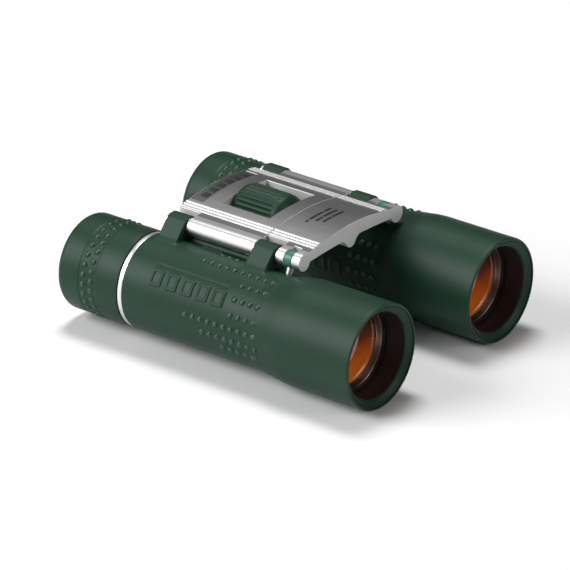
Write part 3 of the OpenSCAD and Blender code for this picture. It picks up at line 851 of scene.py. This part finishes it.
def focus_plate():
    """Front plate that slides with the focus, with notches for the lugs and the link rings."""
    rear, front = PLATE_LOW.y, PLATE_HIGH.y
    tube_rear, notch = FRONT_LUG[1] + 0.4, (RING_LOW.y - 0.05, RING_HIGH.y + 0.05)
    notch_x = HINGE_X - TUBE_R - 0.35
    keep = [rear, tube_rear, *notch, front]
    between = [y for y in np.arange(rear + 1, front, 1.6) if min(abs(y - k) for k in keep) > 0.4]
    rows = merged_rows(keep, between)

    def present(x, y):
        if x > WING_X and y < tube_rear:
            return False
        return not (x > notch_x and notch[0] < y < notch[1])

    def marks(verts, faces, kinds):
        first_y, pitch, width = rear + 5.6, 2.3, 0.8
        lines = (((6.2, 7.6), (-1.2, 5.4), (-5.4, -2.0)), ((1.8, 5.2), (-5.6, 1.2)),
                 ((0.4, 4.6), (-5.8, -0.2)))
        for k, line in enumerate(lines):
            y = first_y + pitch * k
            for x0, x1 in line:
                raised_bar(verts, faces, kinds, x0, x1, y, y + width, -0.02, 0.05, PRINT)

    plate_solid("arched_focus_plate", rows, present, lambda x, y: 0.0, "focus_carriage", "focus_plate",
                marks)


# ---- CAD pieces that keep their shape ----
def paint(nodes, material, edge=0.0):
    """Gives CAD nodes a material, and a small rounded edge where it shows."""
    for node in nodes:
        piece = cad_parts[node]
        if not piece.material_slots:
            piece.data.materials.append(material)
        for slot in piece.material_slots:
            slot.material = material
        if edge:
            bevel(piece, edge, 2, 50.0)


def both(*names):
    """The left and right nodes of each name."""
    return [name + "_" + side for name in names for side in ("left", "right")]


def paint_cad():
    """Materials of every CAD node that no drawn piece stands for."""
    plastic = both("barrel_shell", "prism_cage")
    plastic += ["eyepiece_sleeve_left", "ocular_guide_right", "diopter_ring"]
    black = both("objective_cell", "prism_plate", "ocular_tube", "field_stop", "eye_retainer")
    clear = both("flint_lens", "field_lens", "eye_lens", "prism_front", "prism_roof")
    paint(plastic, MATERIALS["black_plastic"])
    paint(black, MATERIALS["black_metal"])
    paint(clear, MATERIALS["glass"])
    paint(both("hinge_rod") + ["focus_spindle", "wheel_set_screw"], MATERIALS["hinge_steel"])
    paint(["hinge_screws"] + both("focus_pin"), MATERIALS["bright_metal"], 0.12)
    paint(["hinge_washers", "spindle_clip"], MATERIALS["bright_metal"])
    paint(["focus_nut"], MATERIALS["brass"])


# ---- Stage ----
VIEW_AZIMUTH, VIEW_ELEVATION = 128.26, 24.78
VIEW_DISTANCE, VIEW_LENS, SENSOR = 2.0, 395.4, 36.0
VIEW_AIM = Vector((2.51, -1.40, 14.44)) * MM


def add_camera():
    """Camera at the photo's viewpoint; azimuth 0 looks along +Y."""
    a, e = math.radians(VIEW_AZIMUTH), math.radians(VIEW_ELEVATION)
    back = Vector((math.sin(a) * math.cos(e), -math.cos(a) * math.cos(e), math.sin(e)))
    right = Vector((0, 0, 1)).cross(back).normalized()
    up = back.cross(right)
    data = bpy.data.cameras.new("photo_view")
    data.lens, data.sensor_width = VIEW_LENS, SENSOR
    data.clip_start, data.clip_end = 0.05, 20.0
    camera = bpy.data.objects.new("photo_view", data)
    bpy.context.scene.collection.objects.link(camera)
    turn = Matrix((right, up, back)).transposed().to_4x4()
    camera.matrix_world = Matrix.Translation(VIEW_AIM + back * VIEW_DISTANCE) @ turn
    bpy.context.scene.camera = camera


def add_area_light(name, place, size, power):
    """A soft rectangular light, in metres and watts, that points at the part."""
    target = Vector((0, 0, 0.02))
    data = bpy.data.lights.new(name, "AREA")
    data.shape = "RECTANGLE"
    data.size, data.size_y = size
    data.energy = power
    lamp = bpy.data.objects.new(name, data)
    bpy.context.scene.collection.objects.link(lamp)
    lamp.location = place
    lamp.rotation_euler = (target - Vector(place)).to_track_quat("-Z", "Y").to_euler()


def add_stage():
    """Pale floor, even surroundings and three lights."""
    half = 3.0
    mesh = bpy.data.meshes.new("floor")
    corners = [(-half, -half, 0), (half, -half, 0), (half, half, 0), (-half, half, 0)]
    mesh.from_pydata(corners, [], [(0, 1, 2, 3)])
    floor = bpy.data.objects.new("floor", mesh)
    bpy.context.scene.collection.objects.link(floor)
    pale = surface_material("pale_floor", (0.88, 0.88, 0.88), (0.91, 0.91, 0.91), (0.7, 0.85), 400.0,
                            0.00001, patch=2.0)
    mesh.materials.append(pale)
    world = bpy.data.worlds.new("studio")
    world.use_nodes = True
    background = world.node_tree.nodes["Background"]
    background.inputs["Color"].default_value = (1.0, 1.0, 1.0, 1.0)
    background.inputs["Strength"].default_value = 0.10
    bpy.context.scene.world = world
    add_area_light("key", (1.05, -0.80, 0.85), (1.0, 1.0), 24.0)
    add_area_light("top", (-0.5, -0.5, 2.2), (0.8, 0.8), 33.0)
    add_area_light("front_fill", (-0.35, 1.35, 0.55), (0.7, 0.5), 5.0)
    bpy.context.scene.view_settings.view_transform = "Standard"


for barrel_side in (LEFT, RIGHT):
    armour(barrel_side)
    eyecup(barrel_side)
    trim_ring(barrel_side)
    objective(barrel_side)
    link_ring(barrel_side)
focus_wheel()
bridge_plate()
focus_plate()
paint_cad()
add_stage()
add_camera()
